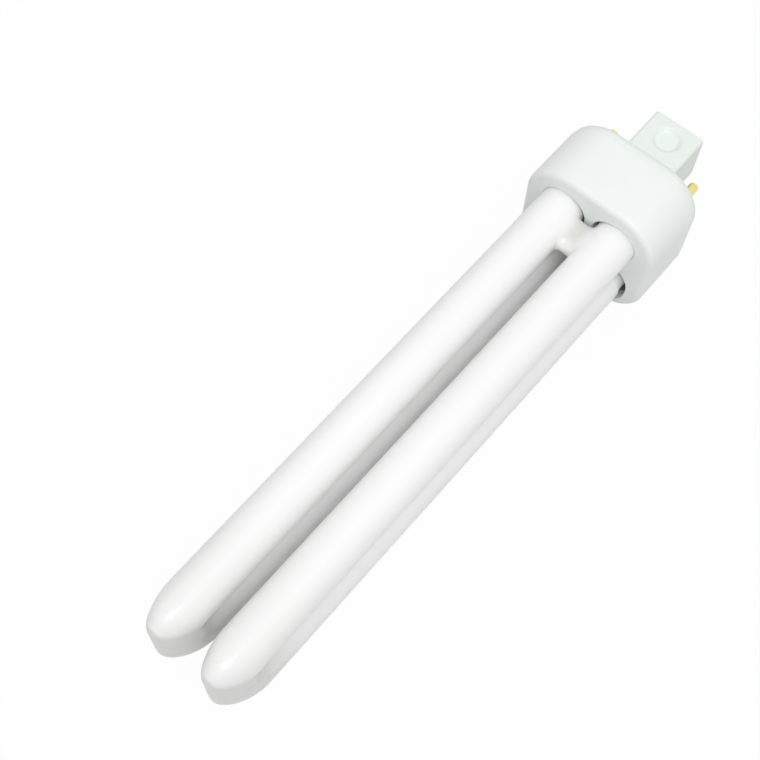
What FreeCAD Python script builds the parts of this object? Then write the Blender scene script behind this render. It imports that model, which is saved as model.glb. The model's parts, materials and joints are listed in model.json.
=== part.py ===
"""Plug-in fluorescent lamp: two glass U tubes joined by a short bridge, standing in a moulded base
that ends in a rectangular plug post with four contact pins.

Every piece is drawn in the lamp's own frame: +X runs from the tips of the tubes to the end of the
post, +Y to the left U tube and +Z to the front limbs, with X = 0 at the tips and Y = Z = 0 on the
axis of the base. At the end the lamp is laid down as it rests, on its tips and the rim of its base.
All sizes are in millimetres.
"""
import FreeCAD, Part
import math
import os

V = FreeCAD.Vector

# glass tube
limb_diameter = 10.7
pitch_across = 14.5          # between the two U tubes, along Y
pitch_deep = 14.4            # between the two limbs of one U tube, along Z
exposed_length = 130.9       # tips to the base
front_corner = 5.6           # outer corners of the flat-ended bend, seen from the side
rear_corner = 10.0
saddle_depth = 1.0           # of the rounded end of the gap between the limbs
nose_width = 7.6             # of the bend at the tips, seen from the front
nose_run = 9.7               # the bend narrows over this length
nose_power = 1.4             # 1 narrows evenly, more starts gently
bridge_diameter = 8.8
bridge_waist = 8.5
bridge_root = 1.0            # its full diameter starts this far inside the limbs
bridge_clearance = 0.6       # between the bridge and the base
limb_reach = 9.4             # how far the limbs stand inside the base
dome_radius = 4.4            # rounding of the blind end of a front limb
tip_off_diameter = 3.2       # sealed stub of the pumping stem
tip_off_length = 2.6
tip_off_root = 1.0           # how far the stub runs into the dome
tip_off_rounding = 1.28
bend_run_out = 2.0           # straight length that belongs to the bend's surface at each end
press_length = 2.0           # flat part of the press seal of a rear limb
press_blend = 2.0            # from the round limb to the flat seal
press_thickness = 3.0
press_width = 10.4
press_power = 4.0            # section of the flat seal: 2 is an ellipse, more is squarer
press_blend_power = 2.4      # section half way between the round limb and the seal

# base housing
housing_edge_across = 4.8    # from a limb to the outside of the housing, along Y
housing_edge_deep = 4.25     # and along Z
housing_corner = 10.8
housing_length = 16.2
housing_wall = 1.6
face_wall = 2.0
rim_radius = 1.4
front_clearance = 0.3        # between a front limb and its hole, all round
rear_clearance = 0.8         # larger, because the press seal goes through this hole
rear_hole_stretch = 1.2      # a rear hole is drawn out by this towards the rear
collar_wall = 1.3
collar_depth = 2.2           # the collar behind the face
cement_recess = 2.8          # the cement starts this far inside the holes
cement_cover = 1.0           # and lies this thick over the collar's end
cement_gap = 0.01            # between the cement and the glass

# plug cap
cap_step = 0.25              # the cap's outline lies this far inside the housing's
cap_thickness = 2.8
cap_shoulder = 2.2
spigot_length = 3.6
spigot_wall = 1.3
fit_gap = 0.05               # between pieces that are pressed together
post_width = 13.4            # along Y
post_depth = 13.4            # along Z
post_length = 17.8
post_corner = 0.9
post_wall = 1.9
post_end_wall = 2.0
post_end_rounding = 0.5
dimple_diameter = 7.6
dimple_depth = 0.9
dimple_to_end = 5.6          # centre of the dimple to the end of the post

# contact pins
pin_circle = 24.0            # the pins' centres lie on this circle
pin_pair_gap = 7.0           # between the front and the rear pins
pin_diameter = 2.4
pin_seat_diameter = 3.0      # where it is pressed into the cap
pin_length = 8.2             # outside the cap
pin_bore = 1.0               # blind hole for the lead wire, from the pin's inner end
pin_bore_depth = 5.2
pin_nose = 0.8
pin_head_diameter = 4.2
pin_head = 0.6
pin_head_clearance = 0.3     # between a pin's head and the cap's spigot
boss_diameter = 5.4
boss_length = 3.0

# lead wires
wire_diameter = 0.5
wire_spread = 3.6            # between the two wires of one press seal
wire_end_gap = 0.3           # between the wire's end and the bottom of the pin's bore

# places that follow from the sizes
limb_radius = limb_diameter / 2
collar_radius = limb_radius + rear_clearance + collar_wall
housing_width = pitch_across + 2 * (limb_radius + housing_edge_across)
housing_depth = pitch_deep + 2 * (limb_radius + housing_edge_deep)
face_x = exposed_length
shell_end_x = face_x + housing_length
plug_face_x = shell_end_x + cap_thickness
post_end_x = plug_face_x + post_length
limb_end_x = face_x + limb_reach
collar_end_x = face_x + face_wall + collar_depth
pin_tip_x = plug_face_x + pin_length
pin_inner_x = shell_end_x - boss_length - pin_head
bore_end_x = pin_inner_x + pin_bore_depth
pin_across = math.sqrt((pin_circle / 2) ** 2 - (pin_pair_gap / 2) ** 2)
limb_across = pitch_across / 2
limb_deep = pitch_deep / 2
bend_length = limb_deep + limb_radius
diagonal = math.cos(math.radians(45))
ring_points = 24             # points on each closed curve round the glass
bend_steps = 12              # sections from the front limb to the rear limb of a bend
sides = {"left": 1, "right": -1}
depths = {"front": 1, "rear": -1}


def rounded_block(x_start, x_end, width, depth, corner):
    """A bar along X with a rounded-rectangle section centred on the base's axis."""
    y, z = width / 2, depth / 2
    slant = corner * (1 - diagonal)
    corners = []
    for sy, sz in ((1, 1), (-1, 1), (-1, -1), (1, -1)):
        side = V(x_start, sy * y, sz * (z - corner))
        middle = V(x_start, sy * (y - slant), sz * (z - slant))
        top = V(x_start, sy * (y - corner), sz * z)
        corners.append((side, middle, top) if sy * sz > 0 else (top, middle, side))
    edges = []
    for here, following in zip(corners, corners[1:] + corners[:1]):
        edges.append(Part.Arc(*here).toShape())
        edges.append(Part.LineSegment(here[2], following[0]).toShape())
    return Part.Face(Part.Wire(edges)).extrude(V(x_end - x_start, 0, 0))


def rod(x_start, x_end, radius, y, z):
    """A round bar parallel to X."""
    return Part.makeCylinder(radius, x_end - x_start, V(x_start, y, z), V(1, 0, 0))


def stretched_rod(x_start, x_end, radius, y, z, stretch):
    """A bar parallel to X whose section is a circle drawn out by the stretch towards the rear."""
    bar = rod(x_start, x_end, radius, y, z)
    if stretch == 0:
        return bar
    middle = Part.makeBox(x_end - x_start, 2 * radius, stretch, V(x_start, y - radius, z - stretch))
    return bar.multiFuse([rod(x_start, x_end, radius, y, z - stretch), middle]).removeSplitter()


def outline_edges(shape, x):
    """The edges of a block's outer outline in the plane at x."""
    return [e for e in shape.Edges if all(abs(v.X - x) < 1e-6 for v in e.Vertexes)]


def limb_places():
    """Y and Z of each limb, and the radius and the stretch of the housing's hole for it."""
    for sz, clearance, stretch in ((1, front_clearance, 0), (-1, rear_clearance, rear_hole_stretch)):
        for sy in sides.values():
            yield sy * limb_across, sz * limb_deep, limb_radius + clearance, stretch


def pin_places():
    """Name, Y and Z of each of the four contact pins."""
    for depth_name, sz in depths.items():
        for side_name, sy in sides.items():
            yield f"{depth_name}_{side_name}", sy * pin_across, sz * pin_pair_gap / 2


def bend_reach(angle):
    """Distance from the bend's centre to its outer outline, a square with rounded corners.

    The angle turns from the front limb (0) over the tips (90 degrees) to the rear limb."""
    rounding = front_corner if math.cos(angle) > 0 else rear_corner
    along, deep = math.sin(angle), abs(math.cos(angle))
    corner = bend_length - rounding
    if deep * corner > along * bend_length:
        return bend_length / deep
    if along * corner > deep * bend_length:
        return bend_length / along
    middle = corner * (along + deep)
    return middle + math.sqrt(middle ** 2 - 2 * corner ** 2 + rounding ** 2)


def bend_inside(angle):
    """Distance from the bend's centre to its inner outline, half an ellipse across the gap."""
    gap = limb_deep - limb_radius
    return 1 / math.hypot(math.cos(angle) / gap, math.sin(angle) / saddle_depth)


def nose_half_width(x):
    """Half width of the bend at a distance x from the tips, which narrows gently towards them."""
    share = min(max((nose_run - x) / nose_run, 0.0), 1.0)
    return limb_radius - (limb_radius - nose_width / 2) * share ** nose_power


def ring(points):
    """A smooth closed curve through the points."""
    curve = Part.BSplineCurve()
    steps = len(points)
    curve.interpolate(Points=points, PeriodicFlag=True, Parameters=[k / steps for k in range(steps + 1)])
    return curve


def disc(curve):
    """The flat face inside a closed curve."""
    return Part.Face(Part.Wire(curve.toShape()))


def skinned(curves):
    """Closed solid whose side is one smooth surface through a row of closed curves."""
    side = Part.BSplineSurface()
    side.buildFromNSections(curves)
    return Part.Solid(Part.Shell([side.toShape(), disc(curves[0]), disc(curves[-1])]))


def super_point(turn, power):
    """A point of the unit superellipse: power 2 is the circle, more is squarer."""
    c, s = math.cos(turn), math.sin(turn)
    return (math.copysign(abs(c) ** (2 / power), c), math.copysign(abs(s) ** (2 / power), s))


def bend_section(angle, shift=0.0):
    """Section of the bend in the plane that turns about its centre line, as a closed curve.

    It reaches from bend_inside to bend_reach, and its width follows the narrowing nose."""
    inner = bend_inside(angle)
    outer = bend_reach(angle)
    middle, half = (outer + inner) / 2, (outer - inner) / 2
    points = []
    for k in range(ring_points):
        turn = 2 * math.pi * k / ring_points
        reach = middle + half * math.cos(turn)
        x = bend_length - reach * math.sin(angle)
        points.append(V(x + shift, nose_half_width(x) * math.sin(turn), reach * math.cos(angle)))
    return ring(points)


def limb_ring(x, half_across, half_deep, power=2.0):
    """Closed curve round a limb or its press seal, about the axis of the front limb."""
    points = []
    for k in range(ring_points):
        deep, across = super_point(2 * math.pi * k / ring_points, power)
        points.append(V(x, half_across * across, limb_deep + half_deep * deep))
    return ring(points)


def mirrored_deep(shape):
    """The same shape on the rear limb."""
    return shape.mirror(V(0, 0, 0), V(0, 0, 1))


def u_tube():
    """One U tube about its own centre line: the flat-ended bend, a front limb with a domed end
    and a rear limb with a press seal."""
    straight_x = bend_length + bend_run_out
    angles = [math.pi * k / bend_steps for k in range(bend_steps + 1)]
    sections = [bend_section(0.0, bend_run_out)]
    sections += [bend_section(a) for a in angles]
    sections += [bend_section(math.pi, bend_run_out)]
    bend = skinned(sections)

    limb_start = disc(sections[0])
    front = limb_start.extrude(V(limb_end_x - straight_x, 0, 0))
    front = front.makeFillet(dome_radius, outline_edges(front, limb_end_x))
    stub_end_x = limb_end_x + tip_off_length
    stub = rod(limb_end_x - tip_off_root, stub_end_x, tip_off_diameter / 2, 0, limb_deep)
    stub = stub.makeFillet(tip_off_rounding, outline_edges(stub, stub_end_x))

    seal_x = limb_end_x - press_length
    round_x = seal_x - press_blend
    rear = limb_start.extrude(V(round_x - straight_x, 0, 0))
    seal_ring = limb_ring(seal_x, press_width / 2, press_thickness / 2, press_power)
    middle_ring = limb_ring((round_x + seal_x) / 2,
                            (limb_radius + press_width / 2) / 2,
                            (limb_radius + press_thickness / 2) / 2, press_blend_power)
    blend = skinned([limb_ring(round_x, limb_radius, limb_radius), middle_ring, seal_ring])
    seal = disc(seal_ring).extrude(V(press_length, 0, 0))
    rear_parts = [mirrored_deep(s) for s in (rear, blend, seal)]
    return bend.multiFuse([front, stub] + rear_parts).removeSplitter()


def bridge():
    """The short glass neck between the two front limbs, waisted where it is free."""
    x = face_x - bridge_clearance - bridge_diameter / 2
    flare_y = limb_across - limb_radius + bridge_root
    top = bridge_diameter / 2
    profile = [
        Part.LineSegment(V(x, -limb_across, 0), V(x, -limb_across, top)),
        Part.LineSegment(V(x, -limb_across, top), V(x, -flare_y, top)),
        Part.Arc(V(x, -flare_y, top), V(x, 0, bridge_waist / 2), V(x, flare_y, top)),
        Part.LineSegment(V(x, flare_y, top), V(x, limb_across, top)),
        Part.LineSegment(V(x, limb_across, top), V(x, limb_across, 0)),
        Part.LineSegment(V(x, limb_across, 0), V(x, -limb_across, 0))]
    neck = Part.Face(Part.Wire([p.toShape() for p in profile])).revolve(V(x, 0, 0), V(0, 1, 0), 360)
    neck.translate(V(0, 0, limb_deep))
    return neck


def discharge_tube():
    """Both U tubes and the bridge: one closed glass vessel."""
    left = u_tube()
    right = left.copy()
    left.translate(V(0, limb_across, 0))
    right.translate(V(0, -limb_across, 0))
    return left.multiFuse([right, bridge()])


def base_housing():
    """Moulded cup: a rounded-square wall, a face with a hole for each limb and a collar behind it."""
    cup = rounded_block(face_x, shell_end_x, housing_width, housing_depth, housing_corner)
    cup = cup.makeFillet(rim_radius, outline_edges(cup, face_x))
    cavity = rounded_block(face_x + face_wall, shell_end_x, housing_width - 2 * housing_wall,
                           housing_depth - 2 * housing_wall, housing_corner - housing_wall)
    collars = [stretched_rod(face_x + face_wall / 2, collar_end_x, collar_radius, y, z, stretch)
               for y, z, hole, stretch in limb_places()]
    holes = [stretched_rod(face_x, collar_end_x, hole, y, z, stretch)
             for y, z, hole, stretch in limb_places()]
    return cup.cut(cavity).multiFuse(collars).cut(Part.makeCompound(holes)).removeSplitter()


def basing_cement():
    """The cement that holds the limbs: it fills the collars and covers their inner end."""
    start_x = face_x + cement_recess
    end_x = collar_end_x + cement_cover
    plugs = [stretched_rod(start_x, collar_end_x, hole, y, z, stretch)
             for y, z, hole, stretch in limb_places()]
    covers = [rod(collar_end_x, end_x, collar_radius, y, z) for y, z, hole, stretch in limb_places()]
    limbs = [rod(start_x, end_x, limb_radius + cement_gap, y, z)
             for y, z, hole, stretch in limb_places()]
    return covers[0].multiFuse(covers[1:] + plugs).cut(Part.makeCompound(limbs)).removeSplitter()


def plug_cap():
    """Moulded cap: a shouldered plate with a spigot in the housing, four pin bosses inside and the
    hollow plug post outside, which has a round dimple on its front and its rear."""
    plate = rounded_block(shell_end_x, plug_face_x, housing_width - 2 * cap_step,
                          housing_depth - 2 * cap_step, housing_corner - cap_step)
    plate = plate.makeFillet(cap_shoulder, outline_edges(plate, plug_face_x))
    inset = housing_wall + fit_gap
    spigot_x = shell_end_x - spigot_length
    spigot = rounded_block(spigot_x, shell_end_x, housing_width - 2 * inset,
                           housing_depth - 2 * inset, housing_corner - inset)
    inset += spigot_wall
    spigot = spigot.cut(rounded_block(spigot_x, shell_end_x, housing_width - 2 * inset,
                                      housing_depth - 2 * inset, housing_corner - inset))
    head_rooms = [rod(spigot_x, shell_end_x, pin_head_diameter / 2 + pin_head_clearance, y, z)
                  for name, y, z in pin_places()]
    spigot = spigot.cut(Part.makeCompound(head_rooms))
    post = rounded_block(plug_face_x, post_end_x, post_width, post_depth, post_corner)
    post = post.makeFillet(post_end_rounding, outline_edges(post, post_end_x))
    bosses = [rod(shell_end_x - boss_length, shell_end_x, boss_diameter / 2, y, z)
              for name, y, z in pin_places()]
    cap = plate.multiFuse([spigot, post] + bosses)

    hollow = rounded_block(shell_end_x, post_end_x - post_end_wall, post_width - 2 * post_wall,
                           post_depth - 2 * post_wall, post_corner / 2)
    bores = [rod(shell_end_x - boss_length, plug_face_x, pin_seat_diameter / 2 + fit_gap, y, z)
             for name, y, z in pin_places()]
    dimples = [Part.makeCylinder(dimple_diameter / 2, dimple_depth,
                                 V(post_end_x - dimple_to_end, 0, sz * post_depth / 2), V(0, 0, -sz))
               for sz in depths.values()]
    return cap.cut(Part.makeCompound([hollow] + bores + dimples)).removeSplitter()


def contact_pin(y, z):
    """Turned brass pin: a head on the boss, a seat in the cap with a blind bore for the lead wire,
    and outside the cap a thinner straight shank with a rounded nose."""
    shank, seat = pin_diameter / 2, pin_seat_diameter / 2
    head, bore = pin_head_diameter / 2, pin_bore / 2
    seat_x = pin_inner_x + pin_head
    slant = pin_nose * (1 - diagonal)
    flat = shank - pin_nose
    profile = [
        Part.LineSegment(V(pin_inner_x, bore, 0), V(pin_inner_x, head, 0)),
        Part.LineSegment(V(pin_inner_x, head, 0), V(seat_x, head, 0)),
        Part.LineSegment(V(seat_x, head, 0), V(seat_x, seat, 0)),
        Part.LineSegment(V(seat_x, seat, 0), V(plug_face_x, seat, 0)),
        Part.LineSegment(V(plug_face_x, seat, 0), V(plug_face_x, shank, 0)),
        Part.LineSegment(V(plug_face_x, shank, 0), V(pin_tip_x - pin_nose, shank, 0)),
        Part.Arc(V(pin_tip_x - pin_nose, shank, 0), V(pin_tip_x - slant, shank - slant, 0),
                 V(pin_tip_x, flat, 0)),
        Part.LineSegment(V(pin_tip_x, flat, 0), V(pin_tip_x, 0, 0)),
        Part.LineSegment(V(pin_tip_x, 0, 0), V(bore_end_x, 0, 0)),
        Part.LineSegment(V(bore_end_x, 0, 0), V(bore_end_x, bore, 0)),
        Part.LineSegment(V(bore_end_x, bore, 0), V(pin_inner_x, bore, 0))]
    pin = Part.Face(Part.Wire([p.toShape() for p in profile])).revolve(V(0, 0, 0), V(1, 0, 0), 360)
    pin.translate(V(0, y, z))
    return pin


def lead_wire(pin_name, y, z):
    """Wire from the press seal of the rear limb on its side into the bore of its pin.

    It leaves the seal straight, turns across half way to the pins and turns again into the bore."""
    side = 1 if y > 0 else -1
    to_rear_pin = z < 0
    start_y = side * limb_across
    start_y += side * wire_spread / 2 * (1 if to_rear_pin else -1)
    start_z = -limb_deep
    turn_x = (limb_end_x + pin_inner_x) / 2
    end_x = bore_end_x - wire_end_gap
    route = [V(limb_end_x, start_y, start_z), V(turn_x, start_y, start_z), V(turn_x, y, z), V(end_x, y, z)]
    radius = (turn_x - limb_end_x) / 2
    section = Part.Wire(Part.makeCircle(wire_diameter / 2, route[0], V(1, 0, 0)))
    return rounded_path(route, radius).makePipeShell([section], True, False)


def rounded_path(route, radius):
    """Straight runs between the points of a route, with a tangent arc at each inner point."""
    edges, here = [], route[0]
    for before, corner, after in zip(route, route[1:], route[2:]):
        inward = (before - corner).normalize()
        outward = (after - corner).normalize()
        half_turn = (math.pi - inward.getAngle(outward)) / 2
        cut_back = radius * math.tan(half_turn)
        arc_start = corner + inward * cut_back
        arc_end = corner + outward * cut_back
        bisector = (inward + outward).normalize()
        arc_middle = corner + bisector * (radius / math.cos(half_turn) - radius)
        edges.append(Part.LineSegment(here, arc_start).toShape())
        edges.append(Part.Arc(arc_start, arc_middle, arc_end).toShape())
        here = arc_end
    edges.append(Part.LineSegment(here, route[-1]).toShape())
    return Part.Wire(edges)


def lay_down(pieces):
    """Turn the lamp until its tips and the rim of its base touch one level surface, and move it
    so that the middle of its underside is the origin."""
    tip_x, tip_z = rear_corner, -limb_deep - limb_radius
    rim_x, rim_z = face_x + rim_radius, -housing_depth / 2
    tilt = math.degrees(math.atan2(tip_z - rim_z, rim_x - tip_x))
    for shape in pieces.values():
        shape.rotate(V(0, 0, 0), V(0, 1, 0), -tilt)
    box = Part.makeCompound(list(pieces.values())).optimalBoundingBox(False, False)
    for shape in pieces.values():
        shape.translate(V(-(box.XMin + box.XMax) / 2, -(box.YMin + box.YMax) / 2, -box.ZMin))
    return tilt


def build():
    """All pieces of the lamp, by name."""
    pieces = {
        "discharge_tube": discharge_tube(),
        "base_housing": base_housing(),
        "basing_cement": basing_cement(),
        "plug_cap": plug_cap()}
    for name, y, z in pin_places():
        pieces[f"contact_pin_{name}"] = contact_pin(y, z)
        pieces[f"lead_wire_{name}"] = lead_wire(name, y, z)
    return pieces


pieces = build()
tilt = lay_down(pieces)
os.makedirs("parts", exist_ok=True)
for name, shape in pieces.items():
    print(f"{name}: {len(shape.Solids)} solid, valid {shape.isValid()}, {shape.Volume:.1f} mm3")
    shape.exportStep(os.path.join("parts", name + ".step"))
print(f"lamp laid down by {tilt:.3f} degrees")
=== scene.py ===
import json
import math

import bmesh
import bpy
import numpy as np
from mathutils import Matrix


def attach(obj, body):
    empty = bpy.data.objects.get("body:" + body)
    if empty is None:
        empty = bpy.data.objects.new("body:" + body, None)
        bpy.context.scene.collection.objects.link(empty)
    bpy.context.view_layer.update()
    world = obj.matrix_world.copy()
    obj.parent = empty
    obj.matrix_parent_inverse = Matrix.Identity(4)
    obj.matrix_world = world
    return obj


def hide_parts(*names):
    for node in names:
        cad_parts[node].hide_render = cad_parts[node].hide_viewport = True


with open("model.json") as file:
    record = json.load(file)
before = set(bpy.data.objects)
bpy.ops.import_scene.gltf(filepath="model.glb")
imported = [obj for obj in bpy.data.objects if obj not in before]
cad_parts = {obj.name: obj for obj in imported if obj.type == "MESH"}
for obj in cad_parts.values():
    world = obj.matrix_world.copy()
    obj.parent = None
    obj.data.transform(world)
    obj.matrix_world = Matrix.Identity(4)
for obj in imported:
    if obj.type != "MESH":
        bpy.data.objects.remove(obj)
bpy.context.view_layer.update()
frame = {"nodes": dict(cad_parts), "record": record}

bl_info = {
    "name": "Plug-in Fluorescent Lamp",
    "version": (1, 0, 0),
    "blender": (4, 5, 0),
    "location": "View3D > Sidebar > Lamp",
    "description": "Dresses the packed lamp: coated glass U tubes, moulded base and cap, brass pins",
    "category": "Object",
}

# Every surface is worked out in the lamp's own frame, in metres: +X from the tips of the tubes to
# the end of the post, +Y to the left tube, +Z to the front limbs, with Y = Z = 0 on the base's axis.


def node_points(node):
    """All corners of a CAD node's mesh, in the row frame."""
    mesh = frame["nodes"][node].data
    points = np.empty(len(mesh.vertices) * 3, np.float32)
    mesh.vertices.foreach_get("co", points)
    return points.reshape(-1, 3).astype(float)


def lamp_axes():
    """Axes and origin of the lamp's frame, read from the contact pins' mounts.

    X is the pins' axis, Y the direction from the right pins to the left ones and Z is X cross Y.
    The origin lies on the line midway between the pins, level with the lowest tube point along X."""
    pins = [m for m in frame["record"]["mounts"] if m["kind"] == "pin"]
    places = {m["name"]: np.array(m["pos_m"]) for m in pins}
    along = np.array(pins[0]["axis"])
    along = along / np.linalg.norm(along)
    left = places["contact_pin_front_left"] - places["contact_pin_front_right"]
    left = left / np.linalg.norm(left)
    axes = np.column_stack((along, left, np.cross(along, left)))
    middle = sum(places.values()) / len(places)
    tips = ((node_points("discharge_tube") - middle) @ along).min()
    return axes, middle + tips * along


AXES, ORIGIN = lamp_axes()


def lamp_box(node):
    """Lowest and highest corner of a CAD node in the lamp's frame."""
    points = (node_points(node) - ORIGIN) @ AXES
    return points.min(0), points.max(0)


TUBE_HIGH = lamp_box("discharge_tube")[1]
BASE_LOW, BASE_HIGH = lamp_box("base_housing")
CAP_HIGH = lamp_box("plug_cap")[1]
PIN_NAMES = ("front_left", "front_right", "rear_left", "rear_right")


def length(name, description, default):
    """A size in metres."""
    return bpy.props.FloatProperty(
        name=name, description=description, default=default, min=0.0, precision=5, unit="LENGTH")


def angle(name, description, default):
    """An angle in radians."""
    return bpy.props.FloatProperty(
        name=name, description=description, default=default, precision=3, subtype="ANGLE")


def number(name, description, default):
    """A plain number."""
    return bpy.props.FloatProperty(name=name, description=description, default=default, precision=3)


def colour(name, description, default):
    """A colour, in linear light."""
    return bpy.props.FloatVectorProperty(
        name=name, description=description, default=default, size=3, min=0.0, max=1.0, subtype="COLOR")


def place(name, description, default):
    """A point in the lamp's frame."""
    return bpy.props.FloatVectorProperty(
        name=name, description=description, default=default, size=3, subtype="XYZ", unit="LENGTH")


class GlassSizes(bpy.types.PropertyGroup):
    """Sizes of the glass tubes and of the neck between them"""
    limb_radius: length("Limb radius", "Outside radius of the glass", 0.00535)
    front_corner: length("Front corner", "Outer corner of the bend on the front limb", 0.0068)
    front_meeting: angle("Front meeting", "Angle at which that corner meets the flat end", 0.55)
    rear_corner: length("Rear corner", "Outer corner of the bend on the rear limb", 0.010)
    saddle_depth: length("Saddle depth", "Depth of the rounded end of the gap between the limbs", 0.0010)
    nose_width: length("Nose width", "Width of the bend at the tips", 0.0076)
    nose_run: length("Nose run", "Length over which the bend narrows", 0.0097)
    nose_power: number("Nose power", "1 narrows evenly, more starts gently", 1.4)
    bridge_length: length("Bridge half length", "Half the length of the neck along the limbs", 0.0044)
    bridge_height: length("Bridge half height", "Half the height of the neck at its middle", 0.0021)
    bridge_fillet: length("Bridge fillet", "Melted rounding between the neck and a limb", 0.0005)
    bridge_rise: length("Bridge rise", "How much higher the neck is at a limb than at its middle", 0.0018)
    bridge_clearance: length("Bridge clearance", "Gap between the neck and the base", 0.0006)
    bridge_power: number("Bridge power", "Section of the neck: 2 is round, more is squarer", 2.4)
    root_neck: length("Root neck", "A rear limb is drawn in by this where it enters the base", 0.0005)
    root_run: length("Root run", "Length over which it is drawn in", 0.0020)
    dome_radius: length("Dome radius", "Rounding of the blind end of a front limb", 0.0044)
    stub_radius: length("Stub radius", "Radius of the sealed pumping stub", 0.0016)
    stub_length: length("Stub length", "Length of the sealed pumping stub", 0.0026)
    press_length: length("Press length", "Flat part of the press seal", 0.0020)
    press_blend: length("Press blend", "Run from the round limb to the press seal", 0.0020)
    press_width: length("Press half width", "Half width of the press seal", 0.0052)
    press_depth: length("Press half thickness", "Half thickness of the press seal", 0.0015)


class BaseSizes(bpy.types.PropertyGroup):
    """Sizes of the moulded housing"""
    corner: length("Corner", "Corner radius of the outline", 0.0108)
    wall: length("Wall", "Wall thickness", 0.0016)
    rim: length("Rim", "Rounding between the wall and the face", 0.0014)
    seam_edge: length("Seam edge", "Rounding of the edge at the cap", 0.00035)
    front_clearance: length("Front clearance", "Gap between a front limb and its hole", 0.00006)
    rear_clearance: length("Rear clearance", "Gap between a rear limb and its hole", 0.0008)
    front_stretch: length("Front stretch", "A front hole is drawn out by this to the neck", 0.0008)
    rear_stretch: length("Rear stretch", "A rear hole is drawn out by this to the rear", 0.0018)
    hole_edge: length("Hole edge", "Rounding of a hole's edge", 0.00015)
    face_depth: length("Face depth", "Depth of a hole from the face to the end of its collar", 0.0042)


class CapSizes(bpy.types.PropertyGroup):
    """Sizes of the cap and its post"""
    thickness: length("Thickness", "From the seam to the plug face", 0.0028)
    shoulder: length("Shoulder", "Rounding between the side and the plug face", 0.0022)
    seam_edge: length("Seam edge", "Rounding of the edge at the housing", 0.00035)
    post_half: length("Post half width", "Half the width of the post", 0.0067)
    post_corner: length("Post corner", "Rounding of the post's long edges", 0.0009)
    post_end: length("Post end edge", "Rounding of the post's end", 0.0005)
    post_root: length("Post root", "Rounding between the plug face and the post", 0.0005)
    dimple_radius: length("Dimple radius", "Radius of the dimples on the post", 0.0038)
    dimple_depth: length("Dimple depth", "Depth of the dimples", 0.0009)
    dimple_edge: length("Dimple edge", "Width of a dimple's sloping edge", 0.0014)
    dimple_to_end: length("Dimple to end", "From a dimple's centre to the post's end", 0.0056)


class PinSizes(bpy.types.PropertyGroup):
    """Sizes of the contact pins"""
    shank: length("Shank radius", "Radius of a pin outside the cap", 0.0012)
    seat: length("Seat radius", "Radius of a pin in the cap", 0.0015)
    seat_rise: length("Seat rise", "How far the seat stands over the plug face", 0.00008)
    head_length: length("Head length", "Length of the head inside", 0.0006)
    nose: length("Nose", "Rounding of a pin's tip", 0.0008)


class LampColours(bpy.types.PropertyGroup):
    """Colours of the pieces and the floor"""
    glass: colour("Coated glass", "White coating under the clear glass", (0.975, 0.975, 0.97))
    glass_shade: colour("Coating shade", "Its faint streaks", (0.955, 0.955, 0.95))
    # The coating is made darker towards the tips, over the bend and the first part of the limbs
    glass_bend: colour("Coating on the bend", "Where the bend has stretched it", (0.88, 0.88, 0.875))
    # Painted shade: colour for the flat end of each bend and for the bend's underside
    tip_painted_shade: colour("Coating at the tips", "Thin on its flat end and under it", (0.72, 0.715, 0.70))
    # Painted shade: colour for the crease of the melted neck between the front limbs
    neck_painted_shade: colour("Coating at the neck", "Burnt thin where the neck is melted", (0.74, 0.73, 0.70))
    housing: colour("Housing", "Cool white plastic", (0.895, 0.93, 0.92))
    housing_shade: colour("Housing shade", "Its faint mottling", (0.875, 0.915, 0.905))
    cap: colour("Cap", "Greenish white plastic", (0.845, 0.90, 0.855))
    cap_shade: colour("Cap shade", "Its faint mottling", (0.82, 0.885, 0.83))
    brass: colour("Brass", "Bright brass", (0.87, 0.78, 0.38))
    brass_shade: colour("Brass shade", "Brass in its turning marks", (0.78, 0.67, 0.28))
    cement: colour("Cement", "Basing cement", (0.15, 0.145, 0.10))
    cement_shade: colour("Cement shade", "Its grains", (0.08, 0.078, 0.052))
    wire: colour("Wire", "Nickelled wire", (0.62, 0.60, 0.57))
    wire_shade: colour("Wire shade", "Wire in its drawing marks", (0.42, 0.40, 0.38))
    floor: colour("Floor", "Floor and background", (0.66, 0.66, 0.66))


class StageLook(bpy.types.PropertyGroup):
    """Camera and light"""
    camera_place: place("Camera", "Camera in the lamp's frame", (-0.026643, -0.067878, 0.263095))
    camera_target: place("Camera target", "Point that the camera looks at", (0.073720, 0.012192, 0.0))
    camera_roll: bpy.props.FloatProperty(
        name="Camera roll", description="Turn about the line of sight", default=0.0363, subtype="ANGLE")
    camera_lens: bpy.props.FloatProperty(
        name="Lens", description="Focal length on a 36 mm sensor, in millimetres", default=63.95)
    key_place: place("Key lamp", "Place of the soft lamp high over the floor", (-0.12, -0.25, 0.80))
    key_size: length("Key size", "Side of the soft lamp", 0.38)
    key_power: bpy.props.FloatProperty(
        name="Key power", description="Power of the soft lamp", default=2.95, unit="POWER")
    sky_high: number("Sky overhead", "Strength of the sky's light from straight above", 0.85)
    sky_low: number("Sky low down", "Strength of the sky's light at the horizon", 0.26)
    floor_glow: number("Floor glow", "Share of the plain white that the camera sees in the floor", 0.97)


def grid_faces(rows, columns, closed, first):
    """Quads between neighbouring rows and columns of points, closed round the columns if asked."""
    numbers = first + np.arange(rows * columns).reshape(rows, columns)
    if closed:
        numbers = np.column_stack((numbers, numbers[:, :1]))
    quads = (numbers[:-1, :-1], numbers[:-1, 1:], numbers[1:, 1:], numbers[1:, :-1])
    return np.stack(quads, axis=-1).reshape(-1, 4)


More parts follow.
